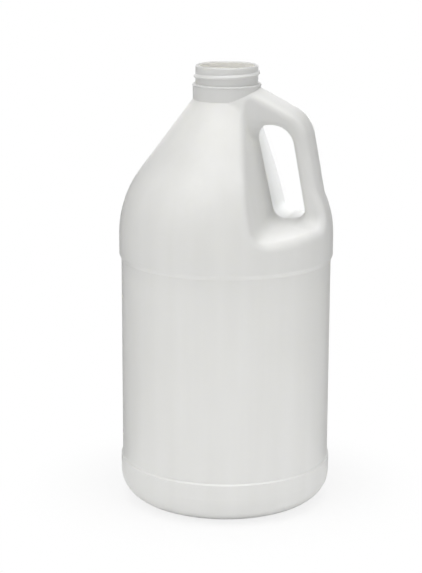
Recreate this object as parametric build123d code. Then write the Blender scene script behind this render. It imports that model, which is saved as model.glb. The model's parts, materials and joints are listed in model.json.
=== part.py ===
"""Round half-gallon bottle with a hollow handle and a screw neck, blow-moulded in one piece.

Millimetres, +Z up, origin on the standing plane at the middle of the base.
The handle is on the +X side and the mould parts on the plane Y = 0.
"""

import os
from math import acos, atan2, cos, degrees, hypot, radians, sin, tan

from build123d import *

# Body of revolution, from the base up
overall_height = 248.4
body_diameter = 120.6
heel_radius = 15.5
standing_ring_width = 5.0
push_up_height = 5.0
push_up_slope_run = 9.0
base_band_inset = 0.3
label_bottom = 24.9
label_bottom_step = 0.8
label_depth = 1.2
label_top_step = 2.6
shoulder_band_height = 11.2

# Cone and neck, from the lip down
cone_half_angle = 36.5
neck_diameter = 34.9
neck_wall = 1.85
neck_height = 10.2
collar_step = 1.5
collar_height = 8.6
lip_chamfer = 0.5

# Recess behind the handle: a leaning face that meets a ledge, both drafted away from the parting plane
ledge_rise = 9.6
finger_gap = 19.6
recess_top_inset = 5.85
recess_draft = 2.5
ledge_draft = 5.3
recess_corner_radius = 8.2
recess_rim_radius = 5.0

# Handle: an arm from the collar, a ball elbow and a grip down to the shoulder
arm_slope = 27.1
arm_top_drop = 2.0
arm_depth = 12.5
arm_end_x = 1.3
arm_corner_radius = 12.5
arm_blend_radius = 8.0
grip_lean = 10.4
grip_foot_inset = 1.95
grip_sink = 4.4
grip_width = 24.0
grip_thickness = 10.8
crown_radius = 20.0
handle_skirt = 16.0
handle_edge_radius = 3.5
handle_foot_radius = 7.8
handle_root_radius = 8.0

# Walls
body_wall = 0.9
handle_wall = 1.5
inside_chords = 3
inside_rim_flat = 3.8

# Heights and radii worked out from the sizes above
body_radius = body_diameter / 2
band_radius = body_radius - base_band_inset
label_radius = body_radius - label_depth
collar_radius = neck_diameter / 2 + collar_step
bore_radius = neck_diameter / 2 - neck_wall
collar_top = overall_height - neck_height
collar_base = collar_top - collar_height
cone_half = radians(cone_half_angle)
dome_centre_z = collar_base - (body_radius / cos(cone_half) - collar_radius) / tan(cone_half)
label_top = dome_centre_z - shoulder_band_height - label_top_step
ledge_height = dome_centre_z + ledge_rise
arm_underside = collar_base - arm_depth

# Lines of the handle and of the recess face, in the parting plane
arm_angle = radians(arm_slope)
grip_angle = radians(grip_lean)
arm_normal = Vector(sin(arm_angle), 0, cos(arm_angle))
grip_normal = Vector(cos(grip_angle), 0, sin(grip_angle))
elbow_turn = degrees(acos(arm_normal.dot(grip_normal)))
arm_level = arm_normal.dot(Vector(collar_radius, 0, collar_top - arm_top_drop))
grip_level = grip_normal.dot(Vector(body_radius - grip_foot_inset, 0, ledge_height))
recess_top_x = collar_radius - recess_top_inset
recess_foot_x = body_radius - grip_foot_inset - grip_thickness / cos(grip_angle) - finger_gap
face_angle = atan2(recess_foot_x - recess_top_x, collar_base - ledge_height)
recess_turn = Rot(-ledge_draft, 0, recess_draft)
recess_foot = Pos(recess_foot_x, 0, ledge_height)
recess_place = recess_foot * recess_turn * recess_foot.inverse()
beyond = 2 * body_diameter
touch = 0.05


def elbow_centre():
    """Middle of the ball elbow, one crown radius below the arm's and the grip's outer lines."""
    arm = arm_level - crown_radius
    grip = grip_level - crown_radius
    spread = arm_normal.X * grip_normal.Z - arm_normal.Z * grip_normal.X
    x = (arm * grip_normal.Z - arm_normal.Z * grip) / spread
    z = (arm_normal.X * grip - arm * grip_normal.X) / spread
    return Vector(x, 0, z)


def cone_radius(z, inset):
    return collar_radius + (collar_base - z) * tan(cone_half) - inset / cos(cone_half)


def face_x(z, inset):
    """Where the recess face stands at height z, before it is drafted."""
    return recess_foot_x - (z - ledge_height) * tan(face_angle) - inset / cos(face_angle)


def undrafted(point):
    """The point's place in the recess before it is drafted."""
    return (recess_place.inverse() * Pos(point)).position


def grip_inner_x(z, inset):
    """Where the side of the grip that faces the recess stands at height z."""
    return (grip_level - grip_thickness + inset - grip_normal.Z * z) / grip_normal.X


def outline(points):
    return [Line(a, b) for a, b in zip(points, points[1:])]


def lies(edge, test):
    """True if points along the whole edge pass the test."""
    return all(test(edge @ place) for place in (0.05, 0.5, 0.95))


def body():
    """Turned body, with a cone that ends inside the neck."""
    heel = heel_arc(0)
    dome = dome_arc(0)
    side = [heel @ 1, (band_radius, label_bottom - label_bottom_step), (label_radius, label_bottom)]
    side += [(label_radius, label_top), (body_radius, label_top + label_top_step), dome @ 0]
    top = top_line(0, cone_radius(collar_top, 0))
    return turned(outline(base_line(0)) + [heel] + outline(side) + [dome] + outline(top))


def body_inside():
    """Air inside the turned body; the heel is drawn with a few straight chords."""
    heel = heel_arc(body_wall)
    dome = dome_arc(body_wall)
    label = label_radius - body_wall
    side = base_line(body_wall)[:-1] + [heel @ (step / inside_chords) for step in range(inside_chords + 1)]
    side += [(label, label_bottom), (label, label_top), dome @ 0]
    return turned(outline(side) + [dome] + outline(top_line(body_wall, bore_radius)))


def heel_arc(inset):
    return CenterArc((band_radius - heel_radius, heel_radius), heel_radius - inset, -90, 90)


def dome_arc(inset):
    return CenterArc((0, dome_centre_z), body_radius - inset, 0, cone_half_angle)


def base_line(inset):
    ring = band_radius - heel_radius
    push_up = (ring - standing_ring_width - push_up_slope_run, push_up_height + inset)
    return [(0, push_up[1]), push_up, (ring - standing_ring_width, inset), (ring, inset)]


def top_line(inset, radius):
    """From the dome up the cone to the given radius, in to the axis and down to the base."""
    end = dome_arc(inset) @ 1
    height = collar_base + (cone_radius(collar_base, inset) - radius) / tan(cone_half)
    return [(end.X, end.Y), (radius, height), (0, height), base_line(inset)[0]]


def turned(lines):
    """The closed half section turned about Z, with its seam away from the handle."""
    return Rot(0, 0, 180) * revolve(Plane.XZ * make_face(Curve() + lines), Axis.Z)


def bar(inset):
    """Crowned bar the handle is cut from: arm, ball elbow and grip, with straight sides below the crown."""
    centre = elbow_centre()
    radius = crown_radius - inset
    crown = ThreePointArc((0, -radius), (radius, 0), (0, radius))
    sides = outline([(0, radius), (-handle_skirt, radius), (-handle_skirt, -radius), (0, -radius)])
    half_disc = make_face(Curve() + [crown, Line((0, radius), (0, -radius))])
    section = make_face(Curve() + [crown] + sides)
    arm_way = Vector(-arm_normal.Z, 0, arm_normal.X)
    grip_way = Vector(grip_normal.Z, 0, -grip_normal.X)
    at_arm = Plane(origin=centre, x_dir=arm_normal, z_dir=arm_way)
    at_grip = Plane(origin=centre, x_dir=grip_normal, z_dir=-grip_way)
    arm_reach = (centre.X - arm_end_x) / arm_normal.Z
    grip_reach = (centre.Z - ledge_height + grip_sink) / grip_normal.X
    arm = extrude(at_arm * section, amount=arm_reach - inset, dir=arm_way)
    grip = extrude(at_grip * section, amount=grip_reach, dir=grip_way)
    elbow = revolve(at_arm * half_disc, Axis(centre, (0, 1, 0)), elbow_turn)
    return arm + elbow + grip


def recess_space(inset):
    """Space beyond the recess face and above the ledge, as the mould half on the +Y side fills it."""
    ledge = ledge_height - inset
    top = overall_height + recess_corner_radius
    corner = FilletPolyline(
        (face_x(top, inset), top), (face_x(ledge, inset), ledge), (2 * beyond, ledge),
        radius=recess_corner_radius + inset,
    )
    rest = outline([(2 * beyond, ledge), (2 * beyond, top), (face_x(top, inset), top)])
    space = extrude(Plane.XZ * make_face(Curve() + [corner] + rest), amount=beyond, both=True)
    return (recess_place * space) & Box(2 * beyond, beyond, 4 * beyond)


def both_sides(tool):
    """The tool's +Y half and its mirror image, which meet on the parting plane."""
    half = tool & Box(4 * beyond, beyond, 4 * beyond, align=(Align.CENTER, Align.MIN, Align.CENTER))
    return half + mirror(half, about=Plane.XZ)


def handle_slab(inset):
    """Upright slab that stays for the handle: above the arm's underside and outside the grip's inner side."""
    under = arm_underside + inset
    low = label_top
    corner = FilletPolyline(
        (-collar_radius, under), (grip_inner_x(under, inset), under), (grip_inner_x(low, inset), low),
        radius=arm_corner_radius + inset,
    )
    rest = outline(
        [corner @ 1, (beyond, low), (beyond, beyond + low), (-collar_radius, beyond + low), corner @ 0]
    )
    slab = extrude(Plane.XZ * make_face(Curve() + [corner] + rest), amount=grip_width / 2 - inset, both=True)
    inner = [e for e in slab.edges() if lies(e, lambda p: on_slab_corner(p, inset))]
    return fillet(inner, handle_edge_radius) if inset == 0 else chamfer(inner, handle_edge_radius - inset)


def on_slab_corner(point, inset):
    """True on the two long edges that run along the arm's underside and down the grip's inner side."""
    on_side = abs(abs(point.Y) - grip_width / 2 + inset) < touch
    inside_x = -collar_radius + touch < point.X < grip_inner_x(label_top, inset) + touch
    return on_side and inside_x and label_top + touch < point.Z < arm_underside + inset + touch


def recess_tool():
    """What the mould pushes in: the recess space round the handle slab, with the handle's ends faired."""

    def at_foot(point):
        return beside(point) and abs(undrafted(point).Z - ledge_height) < touch

    def at_root(point):
        inner = undrafted(point)
        return beside(point) and abs(inner.X - face_x(inner.Z, 0)) < touch

    def beside(point):
        return abs(point.Y) < grip_width / 2 + touch and point.X < beyond - touch

    tool = recess_space(0) - handle_slab(0)
    tool = fillet([e for e in tool.edges() if lies(e, at_foot)], handle_foot_radius)
    tool = fillet([e for e in tool.edges() if lies(e, at_root)], handle_root_radius)
    return both_sides(tool)


def outer_form():
    """The bottle as a solid: turned body, faired-in handle bar and neck, less the recess, with a soft rim."""
    trunk = body()
    handle = bar(0)
    joined = trunk + handle
    crease = [
        e for e in new_edges(trunk, handle, combined=joined)
        if lies(e, lambda p: abs(hypot(p.X, p.Y) - cone_radius(p.Z, 0)) < touch)
        and lies(e, lambda p: p.X > 0 and grip_width / 2 < abs(p.Y) < crown_radius + touch)
    ]
    joined = fillet(crease, arm_blend_radius)
    tool = recess_tool()
    shaped = joined - tool
    shaped = fillet(new_edges(joined, tool, combined=shaped), recess_rim_radius)
    collar = standing_cylinder(collar_radius, arm_underside, collar_top)
    neck = standing_cylinder(neck_diameter / 2, arm_underside, overall_height)
    return shaped + collar + neck


def standing_cylinder(radius, bottom, top):
    return Pos(0, 0, (bottom + top) / 2) * Cylinder(radius, top - bottom)


def hollow():
    """Air inside the bottle: body and bore, the recess pushed in, and the passage through the handle."""
    inside = body_inside()
    bore_start = inside.bounding_box().max.Z
    bore = standing_cylinder(bore_radius, bore_start, overall_height)
    tool = both_sides(recess_space(body_wall))
    pushed = inside - tool
    rim = [e for e in new_edges(inside, tool, combined=pushed) if lies(e, lambda p: p.Z < bore_start - touch)]
    pushed = chamfer(rim, inside_rim_flat)
    passage = bar(handle_wall) & handle_slab(handle_wall)
    return pushed + passage + bore


def bottle():
    shell = outer_form() - hollow()
    lip = shell.edges().group_by(Axis.Z)[-1]
    return chamfer(lip, lip_chamfer)


if __name__ == "__main__":
    os.makedirs("parts", exist_ok=True)
    part = bottle()
    part.label = "bottle"
    export_step(part, "parts/bottle.step")
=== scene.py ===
"""Looks of the round handled bottle: its skin, thread bead and fine mould marks, in a white studio."""

import json
from math import cos, pi, radians, sin

import bmesh
import bpy
import numpy as np
from mathutils import Matrix, Vector
from mathutils.bvhtree import BVHTree


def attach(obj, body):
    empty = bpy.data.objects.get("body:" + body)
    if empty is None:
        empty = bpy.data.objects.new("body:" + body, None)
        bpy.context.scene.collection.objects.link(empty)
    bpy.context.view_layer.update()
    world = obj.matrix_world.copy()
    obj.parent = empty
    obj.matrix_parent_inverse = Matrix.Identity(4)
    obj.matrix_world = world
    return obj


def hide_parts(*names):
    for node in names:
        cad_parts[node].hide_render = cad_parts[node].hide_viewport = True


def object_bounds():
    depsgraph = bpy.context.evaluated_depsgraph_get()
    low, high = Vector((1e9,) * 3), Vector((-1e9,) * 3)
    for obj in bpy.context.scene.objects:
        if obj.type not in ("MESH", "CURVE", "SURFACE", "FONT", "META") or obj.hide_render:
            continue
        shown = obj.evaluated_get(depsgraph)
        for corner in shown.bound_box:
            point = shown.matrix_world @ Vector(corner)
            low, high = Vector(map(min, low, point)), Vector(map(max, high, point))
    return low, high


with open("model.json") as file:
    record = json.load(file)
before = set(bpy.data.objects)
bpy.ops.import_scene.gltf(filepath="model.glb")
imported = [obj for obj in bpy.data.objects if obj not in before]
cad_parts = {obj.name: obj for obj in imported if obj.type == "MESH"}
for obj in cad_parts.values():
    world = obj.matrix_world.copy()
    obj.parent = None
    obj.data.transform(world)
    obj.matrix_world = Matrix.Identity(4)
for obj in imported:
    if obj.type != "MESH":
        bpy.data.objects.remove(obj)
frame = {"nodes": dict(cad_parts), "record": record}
cad_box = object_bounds()

MM = 0.001
BODY = "root"
NODE = "bottle"

# Sizes that the frame gives
mounts = {mount["name"]: mount for mount in frame["record"]["mounts"]}
neck_radius = mounts["neck_finish"]["dims"]["r_mm"] * MM
body_radius = cad_box[1][0]
lip_height = cad_box[1][2]
weld_distance = 0.002 * MM

# Thread bead: one right-hand turn of the 38 mm finish, with its crest below the middle of its width
thread_pitch = 4.233 * MM
thread_height = 1.05 * MM
thread_width = 2.4 * MM
thread_sunk = 0.35 * MM
thread_crest = -0.3
thread_top_power = 1.5
thread_under_power = 3
thread_under_roundness = 0.6
thread_start = radians(106)
thread_turn = radians(356)
thread_start_height = lip_height - 6.9 * MM
thread_run_out = radians(24)
thread_end_width = 0.35
thread_steps = 240
thread_profile_steps = 14

# Collar under the thread, and the fine bead on its edge
collar_radius = neck_radius + 1.5 * MM
collar_top = lip_height - 10.2 * MM
collar_bead_radius = 0.55 * MM
collar_bead_proud = 0.28 * MM
collar_bead_steps = 160
collar_bead_sides = 12

# Parting line, where the two mould halves meet, and the pinch-off weld that it leaves across the base
parting_tolerance = 0.0001 * MM
seam_radius = 0.28 * MM
seam_proud = 0.09 * MM
seam_sides = 10
seam_lip_gap = 0.8 * MM
seam_heel_gap = 3.0 * MM
seam_closing_gap = 2.24 * MM
seam_closing_points = 8
pinch_radius = 0.9 * MM
pinch_proud = 0.35 * MM
pinch_floor_gap = 1.2 * MM
base_height = 6.0 * MM

# Polyethylene: its two tones, its streaks along the bottle, and painted shade on the lip's top
deep_tone = (0.835, 0.835, 0.815, 1)
pale_tone = (0.87, 0.87, 0.855, 1)
tone_start = 0.35
tone_end = 0.65
streak_stretch = (1.0, 1.0, 0.06)
streak_scale = 90.0
cloud_scale = 14.0
grain_scale = 1400.0
# Painted shade: the colour darkens towards the lip's top face, standing in for shade there
lip_shade_start = lip_height - 0.5 * MM
lip_shade_end = lip_height - 0.1 * MM
lip_shade_tone = 0.72

# Photograph's camera, in metres and radians
image_size = (422, 573)
camera_azimuth = radians(11.5)
camera_distance = 0.98163
camera_height = 0.36422
camera_pitch = 0.2416
camera_yaw = -0.0086
camera_roll = 0.0034
focal_pixels = 1778.24
sensor_width = 36.0
nearest_seen = 0.01

# Studio, in metres along the photograph's own axes: right, away, up
photo_axes = Matrix.Rotation(camera_azimuth, 4, "Z")
lamp_target = (0, 0, 0.12)
inside_lamp = (0, 0, 0.195)
inside_lamp_size = 0.02
cool = (0.94, 0.97, 1.0)
warm = (1.0, 0.94, 0.85)
faintly_warm = (1.0, 0.97, 0.92)
fill_strength = 0.20
card_top = 0.7
card_black = (0.02, 0.02, 0.02, 1)
floor_half = 3.0
floor_drop = 0.1 * MM
floor_white = (0.93, 0.93, 0.93, 1)
shadow_start = 0.06
shadow_end = 0.13
shadow_white = 0.8


def mesh_object(name, vertices, faces):
    mesh = bpy.data.meshes.new(name)
    mesh.from_pydata([tuple(v) for v in vertices], [], [tuple(f) for f in faces])
    mesh.validate()
    piece = bpy.data.objects.new(name, mesh)
    bpy.context.scene.collection.objects.link(piece)
    return piece


def smooth_outwards(piece):
    """Turns all faces outwards and shades them smooth."""
    work = bmesh.new()
    work.from_mesh(piece.data)
    bmesh.ops.recalc_face_normals(work, faces=work.faces)
    work.to_mesh(piece.data)
    work.free()
    piece.data.polygons.foreach_set("use_smooth", [True] * len(piece.data.polygons))


def dress(piece, material):
    """Gives a piece its material and its place on the bottle's body."""
    piece.data.materials.append(material)
    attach(piece, BODY)


def skin():
    """The bottle's solid as one welded mesh, with the true surface normals kept at every corner."""
    source = frame["nodes"][NODE].data
    corners = len(source.loops)
    places = np.zeros(len(source.vertices) * 3)
    source.vertices.foreach_get("co", places)
    places = places.reshape(-1, 3)
    normals = np.zeros(corners * 3)
    source.corner_normals.foreach_get("vector", normals)
    of_corner = np.zeros(corners, int)
    source.loops.foreach_get("vertex_index", of_corner)
    kept, shared = np.unique(np.round(places / weld_distance).astype(int), axis=0, return_inverse=True)
    triangles = shared.reshape(-1)[of_corner].reshape(-1, 3)
    whole = np.array([len(set(t)) == 3 for t in triangles])
    piece = mesh_object("bottle_skin", kept * weld_distance, triangles[whole])
    piece.data.polygons.foreach_set("use_smooth", [True] * len(piece.data.polygons))
    piece.data.normals_split_custom_set(normals.reshape(-1, 3, 3)[whole].reshape(-1, 3).tolist())
    return piece


def thread_profile(across):
    """Share of the thread's height, from -1 below to 1 above: a slope over a steep underside."""
    if across > thread_crest:
        return 1 - ((across - thread_crest) / (1 - thread_crest)) ** thread_top_power
    below = (thread_crest - across) / (1 + thread_crest)
    return (1 - below ** thread_under_power) ** thread_under_roundness


def thread():
    """Bead that climbs once round the neck and runs out at both ends."""
    count = thread_profile_steps + 1
    vertices = []
    for step in range(thread_steps + 1):
        along = thread_turn * step / thread_steps
        turn = thread_start + along
        fade = sin(min(1.0, along / thread_run_out, (thread_turn - along) / thread_run_out) * pi / 2)
        rise = thread_height * fade + thread_sunk
        width = thread_width * (thread_end_width + (1 - thread_end_width) * fade)
        middle = thread_start_height + thread_pitch * along / (2 * pi)
        for place in range(count):
            across = 2 * place / thread_profile_steps - 1
            reach = neck_radius - thread_sunk + rise * thread_profile(across)
            vertices.append((reach * cos(turn), reach * sin(turn), middle + across * width / 2))
    faces = []
    for step in range(thread_steps):
        here = step * count
        there = here + count
        for place in range(count):
            after = (place + 1) % count
            faces.append((here + place, there + place, there + after, here + after))
    last = thread_steps * count
    faces.append(tuple(range(count)))
    faces.append(tuple(reversed(range(last, last + count))))
    piece = mesh_object("neck_thread", vertices, faces)
    smooth_outwards(piece)
    return piece


def collar_bead():
    """Fine bead round the collar's top edge, left where the neck's mould insert met the body's mould."""
    count = collar_bead_sides
    ring_radius = collar_radius + collar_bead_proud - collar_bead_radius
    vertices = []
    faces = []
    for step in range(collar_bead_steps):
        turn = 2 * pi * step / collar_bead_steps
        here = step * count
        there = (step + 1) % collar_bead_steps * count
        for side in range(count):
            slope = 2 * pi * side / count
            reach = ring_radius + collar_bead_radius * cos(slope)
            height = collar_top - collar_bead_radius + collar_bead_radius * sin(slope)
            vertices.append((reach * cos(turn), reach * sin(turn), height))
            after = (side + 1) % count
            faces.append((here + side, there + side, there + after, here + after))
    piece = mesh_object("collar_bead", vertices, faces)
    smooth_outwards(piece)
    return piece


def parting_runs(piece, keep):
    """Runs of (place, normal) where the parting plane y = 0 crosses the skin and keep accepts the point."""
    work = bmesh.new()
    work.from_mesh(piece.data)
    bisect_cut_and_lip_shade = bmesh.ops.bisect_plane(
        work,
        geom=work.verts[:] + work.edges[:] + work.faces[:],
        plane_co=(0, 0, 0),
        plane_no=(0, 1, 0),
        dist=parting_tolerance,
    )
    work.normal_update()
    tree = BVHTree.FromBMesh(work)
    beside = {}
    for edge in bisect_cut_and_lip_shade["geom_cut"]:
        if not isinstance(edge, bmesh.types.BMEdge):
            continue
        if all(keep(vert.co, vert.normal, tree) for vert in edge.verts):
            first, second = edge.verts
            beside.setdefault(first, []).append(second)
            beside.setdefault(second, []).append(first)
    runs = []
    waiting = dict.fromkeys(sorted(beside, key=lambda vert: len(beside[vert])))
    while waiting:
        step = next(iter(waiting))
        run = []
        while step is not None:
            waiting.pop(step)
            run.append((step.co.copy(), step.normal.copy()))
            step = next((vert for vert in beside[step] if vert in waiting), None)
        runs.append(run)
    work.free()
    return runs


def on_outside(place, normal, tree):
    """True for the outer surface between heel and lip: from just off it, the way along Y is free."""
    if not seam_heel_gap < place.z < lip_height - seam_lip_gap:
        return False
    if place.z < base_height and abs(place.x) < body_radius - 2 * base_height:
        return False
    start = place + normal * seam_radius
    return tree.ray_cast(start, Vector((0, 1, 0)))[0] is None


def under_base(place, normal, _tree):
    """True for the middle of the push-up under the base."""
    return pinch_floor_gap < place.z < base_height and normal.z < 0 and abs(place.x) < body_radius / 2


def ridge(name, runs, radius, proud):
    """Fine round bead along each run, sunk so that only its top stands proud of the skin."""
    vertices = []
    faces = []
    for run in runs:
        gap = (run[0][0] - run[-1][0]).length
        closed = gap < seam_closing_gap and len(run) > seam_closing_points
        start = len(vertices)
        for place, normal in run:
            out = Vector((normal.x, 0, normal.z)).normalized()
            middle = place - out * (radius - proud)
            for side in range(seam_sides):
                turn = 2 * pi * side / seam_sides
                vertices.append(middle + out * (radius * cos(turn)) + Vector((0, radius * sin(turn), 0)))
        steps = len(run) if closed else len(run) - 1
        for step in range(steps):
            here = start + step * seam_sides
            there = start + (step + 1) % len(run) * seam_sides
            for side in range(seam_sides):
                after = (side + 1) % seam_sides
                faces.append((here + side, here + after, there + after, there + side))
        if not closed:
            last = start + (len(run) - 1) * seam_sides
            faces.append(tuple(range(start, start + seam_sides)))
            faces.append(tuple(range(last, last + seam_sides)))
    piece = mesh_object(name, vertices, faces)
    smooth_outwards(piece)
    return piece


def noise(tree, vector, scale, detail):
    made = tree.nodes.new("ShaderNodeTexNoise")
    made.inputs["Scale"].default_value = scale
    made.inputs["Detail"].default_value = detail
    tree.links.new(vector, made.inputs["Vector"])
    return made.outputs["Fac"]


def bump(tree, height, strength, distance):
    made = tree.nodes.new("ShaderNodeBump")
    made.inputs["Strength"].default_value = strength
    made.inputs["Distance"].default_value = distance
    tree.links.new(height, made.inputs["Height"])
    return made


def shaded_lip_colour(tree, colour, place):
    """The colour with painted shade on the lip: darker towards the lip's top face."""
    height = tree.nodes.new("ShaderNodeSeparateXYZ")
    tree.links.new(place, height.inputs["Vector"])
    bisect_cut_and_lip_shade = tree.nodes.new("ShaderNodeMapRange")
    bisect_cut_and_lip_shade.inputs["From Min"].default_value = lip_shade_start
    bisect_cut_and_lip_shade.inputs["From Max"].default_value = lip_shade_end
    bisect_cut_and_lip_shade.inputs["To Min"].default_value = 1.0
    bisect_cut_and_lip_shade.inputs["To Max"].default_value = lip_shade_tone
    tree.links.new(height.outputs["Z"], bisect_cut_and_lip_shade.inputs["Value"])
    lip_shaded = tree.nodes.new("ShaderNodeVectorMath")
    lip_shaded.operation = "SCALE"
    tree.links.new(colour, lip_shaded.inputs["Vector"])
    tree.links.new(bisect_cut_and_lip_shade.outputs["Result"], lip_shaded.inputs["Scale"])
    return lip_shaded.outputs["Vector"]


def plastic():
    """Natural white polyethylene: satin, a little translucent, with faint flow streaks and a fine grain."""
    material = bpy.data.materials.new("white_polyethylene")
    material.use_nodes = True
    tree = material.node_tree
    shader = tree.nodes["Principled BSDF"]
    shader.inputs["Roughness"].default_value = 0.36
    shader.inputs["IOR"].default_value = 1.53
    shader.inputs["Specular IOR Level"].default_value = 0.4
    shader.inputs["Subsurface Weight"].default_value = 0.5
    shader.inputs["Subsurface Radius"].default_value = (1.0, 1.0, 0.95)
    shader.inputs["Subsurface Scale"].default_value = 0.8 * MM

    place = tree.nodes.new("ShaderNodeTexCoord").outputs["Object"]
    stretch = tree.nodes.new("ShaderNodeMapping")
    stretch.inputs["Scale"].default_value = streak_stretch
    tree.links.new(place, stretch.inputs["Vector"])
    streaks = noise(tree, stretch.outputs["Vector"], streak_scale, detail=3.0)
    cloud = noise(tree, place, cloud_scale, detail=2.0)
    grain = noise(tree, place, grain_scale, detail=2.0)

    both = tree.nodes.new("ShaderNodeMix")
    both.inputs["Factor"].default_value = 0.5
    tree.links.new(streaks, both.inputs["A"])
    tree.links.new(cloud, both.inputs["B"])
    tone = tree.nodes.new("ShaderNodeValToRGB")
    deep, pale = tone.color_ramp.elements
    deep.position = tone_start
    deep.color = deep_tone
    pale.position = tone_end
    pale.color = pale_tone
    tree.links.new(both.outputs["Result"], tone.inputs["Fac"])
    # Base colour, with the painted shade on the lip's top
    tree.links.new(shaded_lip_colour(tree, tone.outputs["Color"], place), shader.inputs["Base Color"])

    fine = bump(tree, grain, strength=0.06, distance=0.2 * MM)
    wave = bump(tree, streaks, strength=0.10, distance=0.6 * MM)
    tree.links.new(fine.outputs["Normal"], wave.inputs["Normal"])
    tree.links.new(wave.outputs["Normal"], shader.inputs["Normal"])
    return material


def camera():
    data = bpy.data.cameras.new("camera")
    data.sensor_width = sensor_width
    data.lens = focal_pixels / max(image_size) * sensor_width
    data.clip_start = nearest_seen
    right = Vector((cos(camera_yaw), -sin(camera_yaw), 0))
    level = Vector((sin(camera_yaw), cos(camera_yaw), 0))
    up = Vector((0, 0, 1))
    ahead = level * cos(camera_pitch) - up * sin(camera_pitch)
    above = level * sin(camera_pitch) + up * cos(camera_pitch)
    across = right * cos(camera_roll) + above * sin(camera_roll)
    above = above * cos(camera_roll) - right * sin(camera_roll)
    axes = Matrix((across, above, -ahead)).transposed().to_4x4()
    place = Matrix.Translation((0, -camera_distance, camera_height))
    made = bpy.data.objects.new("camera", data)
    made.matrix_world = photo_axes @ place @ axes
    bpy.context.scene.collection.objects.link(made)
    bpy.context.scene.camera = made


def softbox(name, place, target, size, power, colour=(1, 1, 1)):
    """Square area light, at a place and with a target in the photograph's axes."""
    data = bpy.data.lights.new(name, "AREA")
    data.size = size
    data.energy = power
    data.color = colour
    made = bpy.data.objects.new(name, data)
    spot = photo_axes @ Vector(place)
    made.location = spot
    made.rotation_euler = (photo_axes @ Vector(target) - spot).to_track_quat("-Z", "Y").to_euler()
    made.visible_camera = False
    bpy.context.scene.collection.objects.link(made)


def lamps():
    """Large soft lamps, low ones over the table, and two weak ones inside for light through the wall."""
    softbox("top", (0.0, -0.05, 1.35), lamp_target, size=1.0, power=9.9)
    softbox("top_back", (0.0, 0.50, 1.20), lamp_target, size=0.9, power=0.3)
    softbox("key_left", (-0.78, -0.62, 1.10), lamp_target, size=0.9, power=3.7)
    softbox("key_right", (0.78, -0.62, 1.10), lamp_target, size=0.9, power=1.4)
    softbox("side_left", (-1.25, -0.10, 0.60), lamp_target, size=0.9, power=0.4)
    softbox("side_right", (1.25, -0.10, 0.60), lamp_target, size=0.9, power=1.0)
    softbox("table_front", (0.0, -0.50, 0.22), (0.0, -0.50, 0), size=0.5, power=0.5)
    softbox("table_left", (-0.45, -0.25, 0.22), (-0.45, -0.25, 0), size=0.4, power=0.28)
    softbox("table_right", (0.45, -0.25, 0.22), (0.45, -0.25, 0), size=0.4, power=0.48)
    softbox("rim", (0.26, 0.97, 0.10), (0.03, 0.02, 0.18), size=0.34, power=0.88, colour=cool)
    softbox("through_neck", inside_lamp, (0, 0, 0.25), size=inside_lamp_size, power=0.011, colour=warm)
    softbox("through_body", inside_lamp, (0, 0, 0), size=inside_lamp_size, power=0.025, colour=faintly_warm)


def surroundings():
    """White to the camera, in reflections and through clear bodies, and a weak even fill otherwise."""
    scene = bpy.context.scene
    scene.view_settings.view_transform = "Standard"
    world = bpy.data.worlds.new("studio")
    scene.world = world
    world.use_nodes = True
    nodes = world.node_tree.nodes
    links = world.node_tree.links
    path = nodes.new("ShaderNodeLightPath")
    seen = nodes.new("ShaderNodeMath")
    seen.operation = "MAXIMUM"
    links.new(path.outputs["Is Camera Ray"], seen.inputs[0])
    links.new(path.outputs["Is Glossy Ray"], seen.inputs[1])
    seen_or_clear = nodes.new("ShaderNodeMath")
    seen_or_clear.operation = "MAXIMUM"
    links.new(seen.outputs["Value"], seen_or_clear.inputs[0])
    links.new(path.outputs["Is Transmission Ray"], seen_or_clear.inputs[1])
    fill = nodes["Background"]
    fill.inputs["Strength"].default_value = fill_strength
    white = nodes.new("ShaderNodeBackground")
    white.inputs["Strength"].default_value = 1.0
    for shade in (fill, white):
        shade.inputs["Color"].default_value = (1, 1, 1, 1)
    pick = nodes.new("ShaderNodeMixShader")
    links.new(seen_or_clear.outputs["Value"], pick.inputs["Fac"])
    links.new(fill.outputs["Background"], pick.inputs[1])
    links.new(white.outputs["Background"], pick.inputs[2])
    links.new(pick.outputs["Shader"], nodes["World Output"].inputs["Surface"])


def table():
    """Pale floor just under the bottle, which keeps its soft shadow."""
    outline = [(-1, -1), (1, -1), (1, 1), (-1, 1)]
    corners = [(x * floor_half, y * floor_half, -floor_drop) for x, y in outline]
    floor = mesh_object("floor", corners, [(0, 1, 2, 3)])
    floor.data.materials.append(floor_paint())


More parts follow.
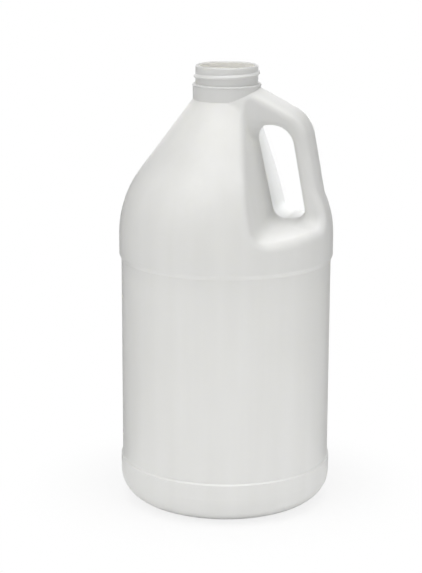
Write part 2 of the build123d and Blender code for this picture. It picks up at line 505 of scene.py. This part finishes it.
def floor_paint():
    """Matt pale paint; to the camera it is mixed with white, wholly so outside the shadow's reach."""
    paint = bpy.data.materials.new("floor_white")
    paint.use_nodes = True
    nodes = paint.node_tree.nodes
    links = paint.node_tree.links
    nodes.remove(nodes["Principled BSDF"])
    matt = nodes.new("ShaderNodeBsdfDiffuse")
    matt.inputs["Color"].default_value = floor_white
    white = nodes.new("ShaderNodeEmission")
    place = nodes.new("ShaderNodeTexCoord")
    reach = nodes.new("ShaderNodeVectorMath")
    reach.operation = "LENGTH"
    links.new(place.outputs["Object"], reach.inputs[0])
    fade = nodes.new("ShaderNodeMapRange")
    fade.interpolation_type = "SMOOTHSTEP"
    fade.inputs["From Min"].default_value = shadow_start
    fade.inputs["From Max"].default_value = shadow_end
    fade.inputs["To Min"].default_value = shadow_white
    links.new(reach.outputs["Value"], fade.inputs["Value"])
    path = nodes.new("ShaderNodeLightPath")
    only = nodes.new("ShaderNodeMath")
    only.operation = "MULTIPLY"
    links.new(fade.outputs["Result"], only.inputs[0])
    links.new(path.outputs["Is Camera Ray"], only.inputs[1])
    mix = nodes.new("ShaderNodeMixShader")
    links.new(only.outputs["Value"], mix.inputs["Fac"])
    links.new(matt.outputs["BSDF"], mix.inputs[1])
    links.new(white.outputs["Emission"], mix.inputs[2])
    links.new(mix.outputs["Shader"], nodes["Material Output"].inputs["Surface"])
    return paint


def card_paint():
    paint = bpy.data.materials.new("card_black")
    paint.use_nodes = True
    shader = paint.node_tree.nodes["Principled BSDF"]
    shader.inputs["Base Color"].default_value = card_black
    shader.inputs["Roughness"].default_value = 0.9
    return paint


def dark_card(name, paint, near, far, bottom):
    """Upright dark card, seen only as the shade that it gives to the bottle's glossy edges."""
    outline = ((near, bottom), (far, bottom), (far, card_top), (near, card_top))
    corners = [photo_axes @ Vector((x, y, z)) for (x, y), z in outline]
    card = mesh_object(name, corners, [(0, 1, 2, 3)])
    card.data.materials.append(paint)
    card.visible_camera = False
    card.visible_diffuse = False
    card.visible_shadow = False


def dark_cards():
    """One card close to each side of the bottle, and one behind the handle for the finger space."""
    paint = card_paint()
    dark_card("left_card", paint, near=(-0.066, 0.05), far=(-0.45, -0.10), bottom=0.0)
    dark_card("right_card", paint, near=(0.072, 0.05), far=(0.45, -0.10), bottom=0.0)
    dark_card("handle_card", paint, near=(0.115, 0.15), far=(0.24, 0.13), bottom=0.13)


white_plastic = plastic()
bottle_skin = skin()
dress(bottle_skin, white_plastic)
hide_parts(NODE)
dress(thread(), white_plastic)
dress(collar_bead(), white_plastic)
seam = parting_runs(bottle_skin, on_outside)
dress(ridge("parting_line", seam, seam_radius, seam_proud), white_plastic)
weld = parting_runs(bottle_skin, under_base)
dress(ridge("base_pinch_off", weld, pinch_radius, pinch_proud), white_plastic)
camera()
surroundings()
table()
lamps()
dark_cards()
